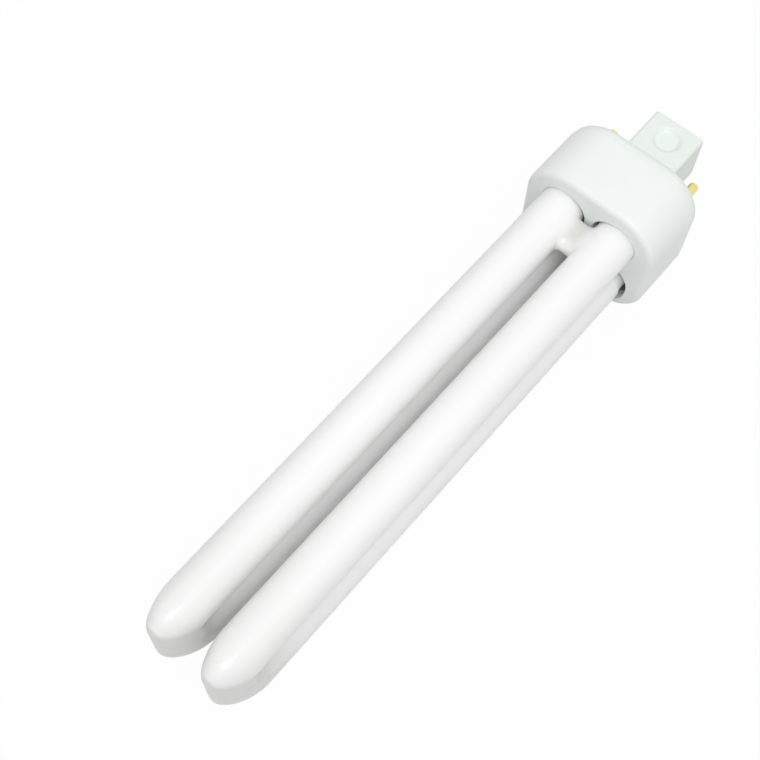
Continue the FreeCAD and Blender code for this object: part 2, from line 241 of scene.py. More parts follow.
def piece_from(name, surfaces, material, sharp=32.0):
    """One object from grids of points (rows, columns, 3) in the lamp's frame, closed round the columns.

    The points are turned and moved into the row frame, doubles are merged, so that poles and seams
    close, and the faces are turned outwards."""
    points, faces, count = [], [], 0
    for surface in surfaces:
        rows, columns = surface.shape[:2]
        points.append(surface.reshape(-1, 3))
        faces.append(grid_faces(rows, columns, True, count))
        count += rows * columns
    mesh = bpy.data.meshes.new(name)
    placed = np.concatenate(points) @ AXES.T + ORIGIN
    mesh.from_pydata(placed, [], np.concatenate(faces).tolist())
    shell = bmesh.new()
    shell.from_mesh(mesh)
    bmesh.ops.remove_doubles(shell, verts=shell.verts, dist=MERGE_DISTANCE)
    bmesh.ops.recalc_face_normals(shell, faces=shell.faces)
    shell.to_mesh(mesh)
    shell.free()
    mesh.shade_smooth()
    mesh.set_sharp_from_angle(angle=math.radians(sharp))
    mesh.materials.append(material)
    piece = bpy.data.objects.new(name, mesh)
    bpy.context.scene.collection.objects.link(piece)
    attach(piece, "root")
    return piece


MERGE_DISTANCE = 1e-7
AROUND = 96
ROUNDING_STEPS = 8


def quarter(start, end, along_x, steps=ROUNDING_STEPS):
    """Quarter of an ellipse from start to end, two points (x, reach).

    It leaves start along X if along_x is true, and along the reach otherwise."""
    turn = np.linspace(0.0, np.pi / 2, steps + 1)[1:]
    rise, run = np.sin(turn), 1.0 - np.cos(turn)
    share = np.column_stack((rise, run) if along_x else (run, rise))
    return np.array(start) + (np.array(end) - np.array(start)) * share


def turned(profile, y, z, steps):
    """Surface of revolution about the line parallel to X through (y, z).

    A profile point (x, r) becomes the ring (x, y + r cos t, z + r sin t), with t once round."""
    x, reach = np.array(profile).T
    turn = np.linspace(0.0, 2 * np.pi, steps, endpoint=False)
    ring_y = y + reach[:, None] * np.cos(turn)
    ring_z = z + reach[:, None] * np.sin(turn)
    return np.stack((np.broadcast_to(x[:, None], ring_y.shape), ring_y, ring_z), axis=-1)


def super_curve(turn, power):
    """The unit superellipse: |cos|^(2/p) and |sin|^(2/p) with their signs; p = 2 is the circle."""
    c, s = np.cos(turn), np.sin(turn)
    return np.sign(c) * np.abs(c) ** (2 / power), np.sign(s) * np.abs(s) ** (2 / power)


def bend_rings(glass, deep, turn):
    """Rings round the bend, from the front limb (angle 0) over the tips to the rear limb (pi).

    In the plane at each angle the section reaches from half an ellipse across the gap out to a
    square with rounded corners, and its half width narrows by the nose's share to the power given.
    The front corner's arc is cut off by the flat end before it has turned all the way, and the edge
    between them is eased: the lesser of two reaches a, b less (k - |a - b|)^2 / 4k, if |a - b| < k."""
    radius, size = glass.limb_radius, deep + glass.limb_radius
    angle = np.linspace(0.0, np.pi, BEND_STEPS)[:, None]
    along, across = np.sin(angle), np.abs(np.cos(angle))
    rounding = np.where(np.cos(angle) > 0, glass.front_corner, glass.rear_corner)
    turned_by = np.where(np.cos(angle) > 0, math.cos(glass.front_meeting), 1.0)
    corner_up, corner_out = size - rounding, size - rounding * turned_by
    middle = corner_out * along + corner_up * across
    inside = np.maximum(middle ** 2 - corner_out ** 2 - corner_up ** 2 + rounding ** 2, 0.0)
    arc = middle + np.sqrt(inside)
    flat_side = size / np.maximum(across, TINY)
    flat_tip = size / np.maximum(along, TINY)
    ease = np.clip(1 - np.abs(arc - flat_tip) / EDGE_EASE, 0.0, 1.0)
    cut_arc = np.minimum(arc, flat_tip) - EDGE_EASE / 4 * ease ** 2
    outer = np.where(np.cos(angle) > 0, cut_arc, arc)
    outer = np.where(across * corner_out > along * size, flat_side, outer)
    outer = np.where(along * corner_up > across * size, flat_tip, outer)
    gap = deep - radius
    inner = 1.0 / np.hypot(across / gap, along / glass.saddle_depth)
    reach = (outer + inner) / 2 + (outer - inner) / 2 * np.sin(turn)
    x = size - reach * along
    share = np.clip((glass.nose_run - x) / glass.nose_run, 0.0, 1.0)
    half_width = radius - (radius - glass.nose_width / 2) * share ** glass.nose_power
    return np.stack((x, half_width * np.cos(turn), reach * np.cos(angle)), axis=-1)


BEND_STEPS = 181
EDGE_EASE = 0.0004
TINY = 1e-9
LIMB_STEPS = 24
PRESS_STEPS = 10
PRESS_POWER = 4.0


def bridge_window(glass, middle_x, beside):
    """Edge of the opening that the neck leaves in a front limb, as x and the angle up the limb.

    It is a superellipse, the neck's half length plus the fillet along X and its half height plus
    the rise in height; a point at height h lies at the angle whose sine is h / R. beside holds the
    directions of the points, seen from the window's centre."""
    cos_part, sin_part = super_curve(beside, glass.bridge_power)
    height = (glass.bridge_height + glass.bridge_rise) * sin_part
    x = middle_x + (glass.bridge_length + glass.bridge_fillet) * cos_part
    return x, np.arcsin(height / glass.limb_radius)


def limb_patch(glass, across, deep, middle_x):
    """Stretch of the right front limb round the neck, as loops, and the directions of their points.

    Unrolled, the limb's surface is a rectangle, X by the angle up from the side next to the neck.
    Each point of its outline moves straight to the point of the window in the same direction, and
    the rectangle rolls up again into the round limb."""
    half = glass.bridge_length + PATCH_MARGIN
    along = np.linspace(-1.0, 1.0, PATCH_STEPS + 1)
    around = np.linspace(-1.0, 1.0, AROUND + 1)
    low, high = np.full(AROUND, -1.0), np.full(AROUND, 1.0)
    left, right = np.full(PATCH_STEPS, -1.0), np.full(PATCH_STEPS, 1.0)
    x_share = np.concatenate((low, along[:-1], high, along[:0:-1]))
    turn_share = np.concatenate((around[:-1], right, around[:0:-1], left))
    beside = np.arctan2(turn_share, x_share)
    window_x, window_turn = bridge_window(glass, middle_x, beside)
    share = np.linspace(0.0, 1.0, PATCH_LOOPS)[:, None]
    x = (middle_x + half * x_share) * (1 - share) + window_x * share
    turn = np.pi * turn_share * (1 - share) + window_turn * share
    radius = glass.limb_radius
    return np.stack((x, radius * np.cos(turn) - across, deep + radius * np.sin(turn)), axis=-1), beside


def bridge_neck(glass, deep, middle_x, window, beside):
    """The melted neck, from the right limb's window over the middle plane to the left one's.

    Each line of it is an arc of a parabola: it leaves the limb in the limb's tangent plane at the
    window and crosses the middle plane square to it, on a superellipse of the neck's own size."""
    cos_part, sin_part = super_curve(beside, glass.bridge_power)
    middle = np.stack((middle_x + glass.bridge_length * cos_part, np.zeros(beside.shape),
                       deep + glass.bridge_height * sin_part), axis=-1)
    rise = window[:, 2] - deep
    slope = rise / np.sqrt(glass.limb_radius ** 2 - rise ** 2)
    pull = middle.copy()
    pull[:, 1] = window[:, 1] + slope * (window[:, 2] - middle[:, 2])
    share = np.linspace(0.0, 1.0, NECK_ROWS)[:, None, None]
    half = window * (1 - share) ** 2 + pull * 2 * share * (1 - share) + middle * share ** 2
    return np.concatenate((half, (half * MIRROR_Y)[::-1][1:]))


PATCH_MARGIN = 0.0015
PATCH_STEPS = 24
PATCH_LOOPS = 30
NECK_ROWS = 15
ROOT_STEPS = 9
MIRROR_Y = np.array((1.0, -1.0, 1.0))


def tube_rings(glass, across, deep, limb_end, patch_ends):
    """The right U tube but for the stretch round the neck, as two runs of rings.

    The first goes from the sealed stub over the dome to the neck, the second from the neck down the
    front limb, over the bend and up the rear limb to its press seal."""
    turn = np.linspace(0.0, 2 * np.pi, AROUND, endpoint=False)
    radius, size = glass.limb_radius, deep + glass.limb_radius

    dome_x = limb_end - glass.dome_radius
    flat = radius - glass.dome_radius
    stub_end = limb_end + glass.stub_length
    tip = glass.stub_radius * STUB_ROUNDING
    root_x = dome_x + math.sqrt(glass.dome_radius ** 2 - (glass.stub_radius - flat) ** 2)
    dome = quarter((limb_end, flat), (dome_x, radius), False, LIMB_STEPS)
    front = np.vstack((
        [(stub_end, 0.0), (stub_end, glass.stub_radius - tip)],
        quarter((stub_end, glass.stub_radius - tip), (stub_end - tip, glass.stub_radius), False),
        [(root_x, glass.stub_radius)],
        dome[dome[:, 1] > glass.stub_radius],
        [(patch_ends[1], radius)]))
    first = turned(front, -across, deep, AROUND)

    limb_x = np.linspace(patch_ends[0], size, LIMB_STEPS)[:-1]
    middle = turned(np.column_stack((limb_x, np.full(limb_x.shape, radius))), -across, deep, AROUND)

    seal_x = limb_end - glass.press_length
    round_x = seal_x - glass.press_blend
    root_x = BASE_LOW[0]
    rear_x = np.concatenate((np.linspace(size, root_x - glass.root_run, LIMB_STEPS)[1:],
                             np.linspace(root_x - glass.root_run, root_x, ROOT_STEPS)[1:], [round_x]))
    blend_x = np.linspace(round_x, seal_x, PRESS_STEPS)[1:]
    x = np.concatenate((rear_x, blend_x, (limb_end, limb_end)))
    share = np.clip((x - round_x) / glass.press_blend, 0.0, 1.0)
    share = share * share * (3 - 2 * share)
    drawn_in = np.clip((x - root_x) / glass.root_run + 1, 0.0, 1.0)
    round_limb = radius - glass.root_neck * drawn_in * drawn_in * (3 - 2 * drawn_in)
    closing = np.ones(x.shape)
    closing[-1] = 0.0
    half_width = closing * (round_limb + (glass.press_width - round_limb) * share)
    half_depth = closing * (round_limb + (glass.press_depth - round_limb) * share)
    power = (2.0 + (PRESS_POWER - 2.0) * share)[:, None]
    cos_part, sin_part = super_curve(turn[None, :], power)
    rear = np.stack((np.broadcast_to(x[:, None], (len(x), AROUND)),
                     half_width[:, None] * cos_part - across,
                     -half_depth[:, None] * sin_part - deep), axis=-1)
    bend = bend_rings(glass, deep, turn) - np.array((0.0, across, 0.0))
    return first, np.concatenate((middle, bend, rear))


class LAMP_OT_glass_tubes(bpy.types.Operator):
    """Make the two coated U tubes, the melted neck between them and the sealed pumping stubs"""
    bl_idname = "lamp.glass_tubes"
    bl_label = "Glass tubes"

    def execute(self, context):
        glass = context.scene.lamp_glass
        across = TUBE_HIGH[1] - glass.limb_radius
        deep = TUBE_HIGH[2] - glass.limb_radius
        limb_end = TUBE_HIGH[0] - glass.stub_length
        middle_x = BASE_LOW[0] - glass.bridge_clearance - glass.bridge_length
        patch, beside = limb_patch(glass, across, deep, middle_x)
        patch_ends = patch[0, :, 0].min(), patch[0, :, 0].max()
        surfaces = [patch, *tube_rings(glass, across, deep, limb_end, patch_ends)]
        surfaces += [surface * MIRROR_Y for surface in surfaces]
        surfaces.append(bridge_neck(glass, deep, middle_x, patch[-1], beside))
        piece = piece_from("coated_glass_tubes", surfaces, coated_glass(context.scene))
        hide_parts("discharge_tube")
        return {"FINISHED"}


STUB_ROUNDING = 0.8


def quadrant_outline(half_y, half_z, corner):
    """Points and outward normals of one quarter of a rounded rectangle, from the middle of the +Y
    side over the round corner to the middle of the +Z side."""
    turn = np.linspace(0.0, np.pi / 2, CORNER_STEPS + 1)
    normal = np.column_stack((np.cos(turn), np.sin(turn)))
    arc = np.array((half_y - corner, half_z - corner)) + corner * normal
    side = np.linspace(0.0, 1.0, SIDE_STEPS, endpoint=False)[:, None]
    up = np.array((half_y, 0.0)) + side * (arc[0] - np.array((half_y, 0.0)))
    over = np.array((0.0, half_z)) + side[::-1] * (arc[-1] - np.array((0.0, half_z)))
    up_normals = np.tile((1.0, 0.0), (SIDE_STEPS, 1))
    over_normals = np.tile((0.0, 1.0), (SIDE_STEPS, 1))
    return np.concatenate((up, arc, over)), np.concatenate((up_normals, normal, over_normals))


CORNER_STEPS = 18
SIDE_STEPS = 26


def all_round(quarter_points):
    """A quarter's points mirrored into the other three, in order once round."""
    flip_y, flip_z = np.array((-1.0, 1.0)), np.array((1.0, -1.0))
    return np.concatenate((quarter_points[:-1], (quarter_points * flip_y)[::-1][:-1],
                           (quarter_points * flip_y * flip_z)[:-1], (quarter_points * flip_z)[::-1][:-1]))


def carried_round(profile, points, normals):
    """A profile of (x, inset) carried round an outline: the row at inset d is points - d * normals."""
    x, inset = np.array(profile).T
    rows = points[None] - inset[:, None, None] * normals[None]
    return np.concatenate((np.broadcast_to(x[:, None, None], rows.shape[:2] + (1,)), rows), axis=2)


def hole_patch(base, points, normals, face_x, back_x, centre, radius, stretch):
    """One quarter of the housing's face, as loops round its hole.

    The outermost loop is the quarter's own outline: the rim's inner line and the two middle lines.
    Each point of it moves straight to the point of the hole's circle at the same angle, over the
    rounded edge, down the hole's wall, and back out to the same kind of outline inside the wall.
    Where the circle faces the way of the stretch, it is moved out by the stretch times the root of
    the cosine between the two directions."""

    def loop(inset):
        """The quarter's outline at an inset, and back along the two middle lines."""
        rim = points - inset * normals
        share = np.linspace(0.0, 1.0, MIDLINE_STEPS + 1)[1:, None]
        down = rim[-1] * (1 - share)
        out = rim[0] * share[:-1]
        return np.concatenate((rim, down, out))

    outer, inner = loop(base.rim), loop(base.wall)
    away = outer - centre
    angle = np.arctan2(away[:, 1], away[:, 0])
    unit = np.column_stack((np.cos(angle), np.sin(angle)))
    facing = np.clip(unit @ np.sign(stretch), 0.0, 1.0)
    middle = centre + np.sqrt(facing)[:, None] * stretch
    edge = base.hole_edge
    rows, heights = [], []
    for share in np.linspace(0.0, 1.0, FACE_ROWS):
        rows.append(outer * (1 - share) + (middle + (radius + edge) * unit) * share)
        heights.append(face_x)
    for x, reach in quarter((face_x, radius + edge), (face_x + edge, radius), False):
        rows.append(middle + reach * unit)
        heights.append(x)
    rows.append(middle + radius * unit)
    heights.append(back_x)
    rows.append(inner)
    heights.append(back_x)
    rows, heights = np.array(rows), np.array(heights)
    return np.concatenate((np.broadcast_to(heights[:, None, None], rows.shape[:2] + (1,)), rows), axis=2)


MIDLINE_STEPS = 16
FACE_ROWS = 9


class LAMP_OT_base_housing(bpy.types.Operator):
    """Make the moulded housing with its four rounded holes"""
    bl_idname = "lamp.base_housing"
    bl_label = "Base housing"

    def execute(self, context):
        base, glass = context.scene.lamp_base, context.scene.lamp_glass
        face_x, seam_x = BASE_LOW[0], BASE_HIGH[0]
        back_x = face_x + base.face_depth
        points, normals = quadrant_outline(BASE_HIGH[1], BASE_HIGH[2], base.corner)
        profile = np.vstack((
            [(face_x, base.rim)],
            quarter((face_x, base.rim), (face_x + base.rim, 0.0), False),
            [(seam_x - base.seam_edge, 0.0)],
            quarter((seam_x - base.seam_edge, 0.0), (seam_x, base.seam_edge), True),
            [(seam_x, base.wall), (back_x, base.wall)]))
        surfaces = [carried_round(profile, all_round(points), all_round(normals))]
        centre = np.array((TUBE_HIGH[1] - glass.limb_radius, TUBE_HIGH[2] - glass.limb_radius))
        holes = ((1, base.front_clearance, np.array((-base.front_stretch, 0.0))),
                 (-1, base.rear_clearance, np.array((0.0, base.rear_stretch))))
        for side_z, clearance, stretch in holes:
            patch = hole_patch(base, points, normals, face_x, back_x, centre,
                               glass.limb_radius + clearance, stretch)
            for side_y in (1, -1):
                surfaces.append(patch * np.array((1.0, side_y, side_z)))
        colours = context.scene.lamp_colours
        plastic = moulded_plastic("housing_plastic", colours.housing, colours.housing_shade)
        piece = piece_from("moulded_housing", surfaces, plastic)
        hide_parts("base_housing")
        return {"FINISHED"}


class LAMP_OT_plug_cap(bpy.types.Operator):
    """Make the cap with its rounded shoulder and the rectangular post with its two dimples"""
    bl_idname = "lamp.plug_cap"
    bl_label = "Plug cap"

    def execute(self, context):
        cap, base = context.scene.lamp_cap, context.scene.lamp_base
        seam_x, post_end = BASE_HIGH[0], CAP_HIGH[0]
        face_x = seam_x + cap.thickness
        corner = base.corner - (BASE_HIGH[1] - CAP_HIGH[1])
        half, rounding = cap.post_half, cap.post_corner
        plate, plate_out = (all_round(a) for a in quadrant_outline(CAP_HIGH[1], CAP_HIGH[2], corner))
        post, post_out = (all_round(a) for a in quadrant_outline(half, half, rounding))
        side = np.vstack((
            [(seam_x, cap.seam_edge)],
            quarter((seam_x, cap.seam_edge), (seam_x + cap.seam_edge, 0.0), False),
            [(face_x - cap.shoulder, 0.0)],
            quarter((face_x - cap.shoulder, 0.0), (face_x, cap.shoulder), True, 2 * ROUNDING_STEPS)))
        side_rows = carried_round(side, plate, plate_out)
        straight_x = np.linspace(face_x + cap.post_root, post_end - cap.post_end, POST_ROWS)
        stem = np.vstack((
            [(face_x, -cap.post_root)],
            quarter((face_x, -cap.post_root), (face_x + cap.post_root, 0.0), False),
            np.column_stack((straight_x, np.zeros(POST_ROWS)))[1:],
            quarter((post_end - cap.post_end, 0.0), (post_end, cap.post_end), True)))
        stem_rows = dimpled(carried_round(stem, post, post_out), cap, post_end)
        share = np.linspace(0.0, 1.0, STRIP_ROWS)[1:-1, None, None]
        strip = side_rows[-1] * (1 - share) + stem_rows[0] * share
        columns = len(plate)
        poles = [np.broadcast_to(np.array((x, 0.0, 0.0)), (1, columns, 3)) for x in (seam_x, post_end)]
        surface = np.concatenate((poles[0], side_rows, strip, stem_rows, poles[1]))
        colours = context.scene.lamp_colours
        plastic = moulded_plastic("cap_plastic", colours.cap, colours.cap_shade)
        piece = piece_from("cap_and_post", [surface], plastic)
        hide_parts("plug_cap")
        return {"FINISHED"}


POST_ROWS = 72
STRIP_ROWS = 12


def dimpled(rows, cap, post_end):
    """Sink a round dimple into the front and the rear of the post.

    A point of those two sides at distance r from the dimple's centre moves in by the depth times a
    smooth step that is 1 up to the dimple's floor and 0 from its radius on."""
    rows = rows.copy()
    on_side = np.abs(rows[..., 2]) > cap.post_half * (1 - SIDE_TOLERANCE)
    away = np.hypot(rows[..., 0] - (post_end - cap.dimple_to_end), rows[..., 1])
    step = np.clip((cap.dimple_radius - away) / cap.dimple_edge, 0.0, 1.0)
    sink = cap.dimple_depth * step * step * (3 - 2 * step) * on_side
    rows[..., 2] -= np.sign(rows[..., 2]) * sink
    return rows


SIDE_TOLERANCE = 1e-4


class LAMP_OT_contact_pins(bpy.types.Operator):
    """Make the four turned brass contact pins"""
    bl_idname = "lamp.contact_pins"
    bl_label = "Contact pins"

    def execute(self, context):
        pins, cap = context.scene.lamp_pins, context.scene.lamp_cap
        face_x = BASE_HIGH[0] + cap.thickness
        brass = turned_brass(context.scene)
        for name in PIN_NAMES:
            node = "contact_pin_" + name
            low, high = lamp_box(node)
            y, z = (low[1] + high[1]) / 2, (low[2] + high[2]) / 2
            head = (high[1] - low[1]) / 2
            seat_end = face_x + pins.seat_rise
            profile = np.vstack((
                [(low[0], 0.0), (low[0], head), (low[0] + pins.head_length, head),
                 (low[0] + pins.head_length, pins.seat), (seat_end, pins.seat), (seat_end, pins.shank)],
                [(high[0] - pins.nose, pins.shank)],
                quarter((high[0] - pins.nose, pins.shank), (high[0], pins.shank - pins.nose), True),
                [(high[0], 0.0)]))
            surface = turned(profile, y, z, PIN_STEPS)
            piece = piece_from("brass_pin_" + name, [surface], brass)
            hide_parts(node)
        return {"FINISHED"}


PIN_STEPS = 48


class LAMP_OT_inner_pieces(bpy.types.Operator):
    """Give the basing cement and the lead wires inside the base their finish"""
    bl_idname = "lamp.inner_pieces"
    bl_label = "Inner pieces"

    def execute(self, context):
        cement = basing_cement(context.scene)
        wire = drawn_wire(context.scene)
        finishes = {"basing_cement": cement}
        finishes.update({"lead_wire_" + name: wire for name in PIN_NAMES})
        for node, material in finishes.items():
            mesh = frame["nodes"][node].data
            mesh.materials.clear()
            mesh.materials.append(material)
        return {"FINISHED"}


def new_material(name):
    """An empty node material: its nodes, its links and its main shader."""
    material = bpy.data.materials.new(name)
    material.use_nodes = True
    nodes, links = material.node_tree.nodes, material.node_tree.links
    return material, nodes, links, nodes["Principled BSDF"]


def grain(nodes, links, scale, detail, stretch=(1.0, 1.0, 1.0)):
    """Noise on the object's coordinates, stretched by a Mapping node."""
    coordinates = nodes.new("ShaderNodeTexCoord")
    mapping = nodes.new("ShaderNodeMapping")
    mapping.inputs["Scale"].default_value = stretch
    noise = nodes.new("ShaderNodeTexNoise")
    noise.inputs["Scale"].default_value = scale
    noise.inputs["Detail"].default_value = detail
    links.new(coordinates.outputs["Object"], mapping.inputs["Vector"])
    links.new(mapping.outputs["Vector"], noise.inputs["Vector"])
    return noise.outputs["Fac"]


def between(nodes, links, factor, first, second, low, high):
    """Colour that goes from first to second as the factor goes from low to high."""
    ramp = nodes.new("ShaderNodeValToRGB")
    ramp.color_ramp.elements[0].position = low
    ramp.color_ramp.elements[0].color = (*first, 1.0)
    ramp.color_ramp.elements[1].position = high
    ramp.color_ramp.elements[1].color = (*second, 1.0)
    links.new(factor, ramp.inputs["Fac"])
    return ramp.outputs["Color"]


def relief(nodes, links, height, strength, distance):
    """Fine relief from a height."""
    bump = nodes.new("ShaderNodeBump")
    bump.inputs["Strength"].default_value = strength
    bump.inputs["Distance"].default_value = distance
    links.new(height, bump.inputs["Height"])
    return bump.outputs["Normal"]


def rough_range(nodes, links, factor, low, high):
    """Roughness that varies with the factor."""
    spread = nodes.new("ShaderNodeMapRange")
    spread.inputs["To Min"].default_value = low
    spread.inputs["To Max"].default_value = high
    links.new(factor, spread.inputs["Value"])
    return spread.outputs["Result"]


def smooth_share(nodes, links, value, start, end):
    """0 up to the start and 1 from the end on, smooth between."""
    share = nodes.new("ShaderNodeMapRange")
    share.interpolation_type = "SMOOTHSTEP"
    share.inputs["From Min"].default_value = start
    share.inputs["From Max"].default_value = end
    links.new(value, share.inputs["Value"])
    return share.outputs["Result"]


def share_along(nodes, links, direction, start, end):
    """0 up to the start and 1 from the end on, by the distance from the lamp's origin along a
    direction of the row frame."""
    coordinates = nodes.new("ShaderNodeTexCoord")
    distance = nodes.new("ShaderNodeVectorMath")
    distance.operation = "DOT_PRODUCT"
    distance.inputs[1].default_value = direction
    links.new(coordinates.outputs["Object"], distance.inputs[0])
    offset = float(np.dot(ORIGIN, direction))
    return smooth_share(nodes, links, distance.outputs["Value"], offset + start, offset + end)


def share_aside(nodes, links, start, end):
    """0 up to the start and 1 from the end on, by the distance from the middle plane Y = 0."""
    coordinates = nodes.new("ShaderNodeTexCoord")
    parts = nodes.new("ShaderNodeSeparateXYZ")
    links.new(coordinates.outputs["Object"], parts.inputs["Vector"])
    distance = math_node(nodes, links, "ABSOLUTE", parts.outputs["Y"])
    return smooth_share(nodes, links, distance, start, end)


def math_node(nodes, links, operation, *values):
    """The result of one operation on linked values."""
    node = nodes.new("ShaderNodeMath")
    node.operation = operation
    for socket, value in zip(node.inputs, values):
        links.new(value, socket)
    return node.outputs["Value"]


def blended(nodes, links, factor, first, second):
    """Colour that goes from the first, a plain colour, to the second, a linked one, with the factor."""
    mix = nodes.new("ShaderNodeMix")
    mix.data_type = "RGBA"
    links.new(factor, mix.inputs["Factor"])
    mix.inputs[COLOUR_A].default_value = (*first, 1.0)
    links.new(second, mix.inputs[COLOUR_B])
    return mix.outputs[COLOUR_RESULT]


# Places of the colour sockets among the Mix node's inputs and outputs
COLOUR_A, COLOUR_B, COLOUR_RESULT = 6, 7, 2

# Directions in the row frame, and where along them the coating's colour starts and ends to change; at the
# neck, under the bend and on its flat end the change is painted shade
TO_BASE = (1.0, 0.0, 0.0)
TO_TIPS = (-1.0, 0.0, 0.0)
UP_FROM_BEND = (0.410, 0.0, 0.912)
FLAT_END_SHADE_EDGE = (0.0002, 0.0008)
UNDERSIDE_SHADE_EDGE = (0.0079, 0.0101)
UNDERSIDE_SHADE_RUN = (0.006, 0.024)
BEND_RUN = (0.004, 0.060)
NECK_SHADE_RUN = (-0.1250, -0.1195)
NECK_SHADE_HALF = (0.0004, 0.0036)


def coated_glass(scene):
    """Clear drawn glass over a white coating, with long faint streaks in the coating, a slight
    waviness in the glass and a hard gloss.

    The coating is a little darker over the bend, and painted shade darkens it further in the neck's
    crease, under the bend and on its flat end. A factor of 0 gives a place its own colour and 1 keeps the
    coating's."""
    colours = scene.lamp_colours
    material, nodes, links, shader = new_material("coated_glass")
    streaks = grain(nodes, links, scale=140.0, detail=3.0, stretch=(0.08, 1.0, 1.0))
    coating = between(nodes, links, streaks, colours.glass, colours.glass_shade, low=0.3, high=0.75)
    # Darker coating towards the tips, from 4 mm to 60 mm along the lamp
    bend = share_along(nodes, links, TO_BASE, *BEND_RUN)
    coating = blended(nodes, links, bend, colours.glass_bend, coating)
    # Painted shade in the neck's crease: near the middle plane, next to the base
    neck = math_node(nodes, links, "MAXIMUM", share_aside(nodes, links, *NECK_SHADE_HALF),
                     share_along(nodes, links, TO_TIPS, *NECK_SHADE_RUN))
    coating = blended(nodes, links, neck, colours.neck_painted_shade, coating)
    # Painted shade under the bend: below a slanted plane, near the tips
    under = math_node(nodes, links, "MAXIMUM", share_along(nodes, links, UP_FROM_BEND, *UNDERSIDE_SHADE_EDGE),
                      share_along(nodes, links, TO_BASE, *UNDERSIDE_SHADE_RUN))
    coating = blended(nodes, links, under, colours.tip_painted_shade, coating)
    # Painted shade on the flat end of each bend
    flat_end = share_along(nodes, links, TO_BASE, *FLAT_END_SHADE_EDGE)
    coating = blended(nodes, links, flat_end, colours.tip_painted_shade, coating)
    links.new(coating, shader.inputs["Base Color"])
    wave = grain(nodes, links, scale=55.0, detail=1.0, stretch=(0.3, 1.0, 1.0))
    links.new(relief(nodes, links, wave, strength=0.06, distance=0.0003), shader.inputs["Coat Normal"])
    links.new(rough_range(nodes, links, streaks, low=0.38, high=0.5), shader.inputs["Roughness"])
    shader.inputs["Subsurface Weight"].default_value = 0.5
    shader.inputs["Subsurface Radius"].default_value = (1.0, 1.0, 1.0)
    shader.inputs["Subsurface Scale"].default_value = 0.005
    shader.inputs["Coat Weight"].default_value = 0.4
    shader.inputs["Coat Roughness"].default_value = 0.05
    shader.inputs["Coat IOR"].default_value = 1.5
    shader.inputs["Specular IOR Level"].default_value = 0.3
    return material


def moulded_plastic(name, main, shade):
    """Satin moulded plastic: faint cloudy mottling and a fine moulded grain."""
    material, nodes, links, shader = new_material(name)
    clouds = grain(nodes, links, scale=90.0, detail=4.0)
    mottling = between(nodes, links, clouds, main, shade, low=0.35, high=0.7)
    links.new(mottling, shader.inputs["Base Color"])
    fine = grain(nodes, links, scale=2600.0, detail=2.0)
    links.new(relief(nodes, links, fine, strength=0.12, distance=0.00005), shader.inputs["Normal"])
    links.new(rough_range(nodes, links, clouds, low=0.36, high=0.5), shader.inputs["Roughness"])
    return material


def turned_brass(scene):
    """Bright brass with fine rings round each pin and a slightly dulled patina."""
    colours = scene.lamp_colours
    material, nodes, links, shader = new_material("turned_brass")
    rings = grain(nodes, links, scale=900.0, detail=3.0, stretch=(6.0, 0.25, 0.25))
    patina = between(nodes, links, rings, colours.brass_shade, colours.brass, low=0.3, high=0.7)
    links.new(patina, shader.inputs["Base Color"])
    links.new(relief(nodes, links, rings, strength=0.25, distance=0.00003), shader.inputs["Normal"])
    links.new(rough_range(nodes, links, rings, low=0.2, high=0.36), shader.inputs["Roughness"])
    shader.inputs["Metallic"].default_value = 1.0
    return material


def basing_cement(scene):
    """Dull grainy cement."""
    colours = scene.lamp_colours
    material, nodes, links, shader = new_material("basing_cement")
    grains = grain(nodes, links, scale=1400.0, detail=6.0)
    speckle = between(nodes, links, grains, colours.cement, colours.cement_shade, low=0.35, high=0.65)
    links.new(speckle, shader.inputs["Base Color"])
    links.new(relief(nodes, links, grains, strength=0.7, distance=0.0001), shader.inputs["Normal"])
    shader.inputs["Roughness"].default_value = 0.9
    return material


def drawn_wire(scene):
    """Nickelled wire with drawing marks along it."""
    colours = scene.lamp_colours
    material, nodes, links, shader = new_material("drawn_wire")
    marks = grain(nodes, links, scale=2400.0, detail=2.0, stretch=(0.1, 1.0, 1.0))
    drawn = between(nodes, links, marks, colours.wire_shade, colours.wire, low=0.3, high=0.7)
    links.new(drawn, shader.inputs["Base Color"])
    links.new(rough_range(nodes, links, marks, low=0.25, high=0.45), shader.inputs["Roughness"])
    shader.inputs["Metallic"].default_value = 1.0
    return material


def seen_directly(nodes, links):
    """1 for a ray from the camera, a mirror image or a view through glass, and 0 for other light."""
    path = nodes.new("ShaderNodeLightPath")
    seen = math_node(nodes, links, "MAXIMUM", path.outputs["Is Camera Ray"], path.outputs["Is Glossy Ray"])
    return math_node(nodes, links, "MAXIMUM", seen, path.outputs["Is Transmission Ray"])


def floor_material(scene):
    """Pale faintly clouded floor. Seen directly, most of it is a plain white glow, so that the
    object's shadow on it stays faint."""
    material, nodes, links, shader = new_material("pale_floor")
    look, colours = scene.lamp_stage, scene.lamp_colours
    cloud = grain(nodes, links, scale=3.0, detail=2.0)
    dim = tuple(c * FLOOR_DIMMING for c in colours.floor)
    clouded = between(nodes, links, cloud, colours.floor, dim, low=0.3, high=0.7)
    links.new(clouded, shader.inputs["Base Color"])
    shader.inputs["Roughness"].default_value = 0.9
    shader.inputs["Specular IOR Level"].default_value = 0.0
    glow = nodes.new("ShaderNodeEmission")
    share = nodes.new("ShaderNodeMath")
    share.operation = "MULTIPLY"
    share.inputs[1].default_value = look.floor_glow
    links.new(seen_directly(nodes, links), share.inputs[0])
    mix = nodes.new("ShaderNodeMixShader")
    links.new(share.outputs["Value"], mix.inputs["Fac"])
    links.new(shader.outputs["BSDF"], mix.inputs[1])
    links.new(glow.outputs["Emission"], mix.inputs[2])
    links.new(mix.outputs["Shader"], nodes["Material Output"].inputs["Surface"])
    return material


